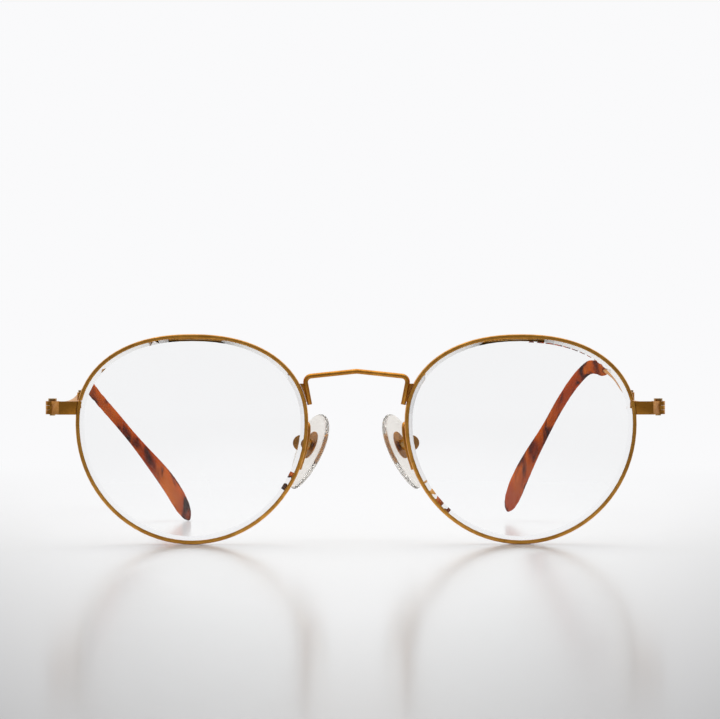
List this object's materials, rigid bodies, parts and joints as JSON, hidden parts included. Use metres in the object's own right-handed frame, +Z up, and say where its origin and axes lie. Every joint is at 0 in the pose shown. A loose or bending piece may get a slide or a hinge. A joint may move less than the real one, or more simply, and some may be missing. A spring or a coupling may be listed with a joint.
{
  "type": "eyeglasses",
  "caption": "round wire-rimmed glasses with an angular wire bridge, clear nose pads and folding temples that end in curved tortoiseshell tips",
  "frame": {"origin": "on the surface that the rims and the right temple tip stand on, under the middle of the open glasses' bounding box", "axes": "+X is to the right of someone who faces the wearer, so it is the wearer's left; the front faces -Y and the temples run back along +Y; +Z is up"},
  "size_m": [0.1372, 0.1198, 0.046],
  "materials": {
    "brushed_gold": "satin",
    "screw_gold": "gloss",
    "lens_glass": "polished",
    "clear_plastic": "gloss",
    "tortoiseshell": "gloss"
  },
  "bodies": {
    "front": {"bridge": "brushed_gold", "rim_right": "brushed_gold", "lens_right": "lens_glass", "rim_lock_upper_right": "brushed_gold", "rim_lock_lower_right": "brushed_gold", "rim_lock_screw_right": "screw_gold", "end_piece_right": "brushed_gold", "hinge_screw_right": "screw_gold", "pad_arm_right": "brushed_gold", "pad_box_right": "brushed_gold", "pad_screw_right": "screw_gold", "rim_left": "brushed_gold", "lens_left": "lens_glass", "rim_lock_upper_left": "brushed_gold", "rim_lock_lower_left": "brushed_gold", "rim_lock_screw_left": "screw_gold", "end_piece_left": "brushed_gold", "hinge_screw_left": "screw_gold", "pad_arm_left": "brushed_gold", "pad_box_left": "brushed_gold", "pad_screw_left": "screw_gold"},
    "temple_right": {"temple_arm_right": "brushed_gold", "temple_tip_right": "tortoiseshell"},
    "nose_pad_right_body": {"nose_pad_right": "clear_plastic", "nose_pad_core_right": "brushed_gold"},
    "temple_left": {"temple_arm_left": "brushed_gold", "temple_tip_left": "tortoiseshell"},
    "nose_pad_left_body": {"nose_pad_left": "clear_plastic", "nose_pad_core_left": "brushed_gold"}
  },
  "joints": [
    {"name": "temple_left_hinge", "type": "hinge", "parent": "front", "child": "temple_left", "pos_m": [0.06715, -0.05226, 0.02985], "axis": [0, 0, 1], "range_deg": [0, 80]},
    {"name": "temple_right_hinge", "type": "hinge", "parent": "front", "child": "temple_right", "pos_m": [-0.06715, -0.05226, 0.02985], "axis": [0, 0, -1], "range_deg": [0, 66]},
    {"name": "nose_pad_left_rock", "type": "hinge", "parent": "front", "child": "nose_pad_left_body", "pos_m": [0.01126, -0.05072, 0.02197], "axis": [-0.6238, -0.7356, -0.2641], "range_deg": [-8, 8]},
    {"name": "nose_pad_right_rock", "type": "hinge", "parent": "front", "child": "nose_pad_right_body", "pos_m": [-0.01126, -0.05072, 0.02197], "axis": [-0.6238, 0.7356, 0.2641], "range_deg": [-8, 8]}
  ]
}
